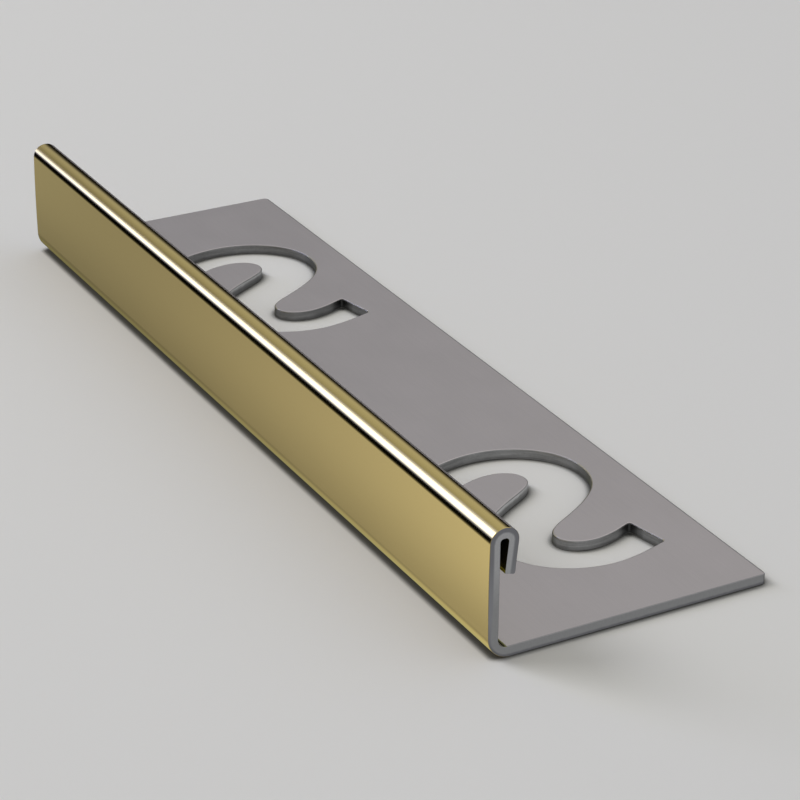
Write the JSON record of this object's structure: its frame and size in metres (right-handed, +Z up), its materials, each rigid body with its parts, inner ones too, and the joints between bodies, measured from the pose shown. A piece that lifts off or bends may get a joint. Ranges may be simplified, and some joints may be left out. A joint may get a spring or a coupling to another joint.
{
  "type": "tile edge trim",
  "caption": "Folded sheet-metal tile edge trim: decorative outer face with hemmed top edge, and a flat anchoring leg pierced by wave-shaped slots.",
  "frame": {"origin": "centre of the footprint, on the underside of the anchoring leg", "axes": "+X along the trim, -Y out of the decorative face, +Y towards the free edge of the anchoring leg, +Z up out of the floor or wall that the leg is bedded on"},
  "size_m": [0.1, 0.0286, 0.0125],
  "materials": {
    "gold_finish": "champagne-gold coloured stainless steel, satin to polished, on the decorative face, hem and inner side of the upright",
    "bare_steel": "matt grey mill-finish stainless steel on the anchoring leg, cut ends and slot edges"
  },
  "bodies": {
    "root": {"folded_edge_profile": "gold_finish"}
  },
  "joints": []
}
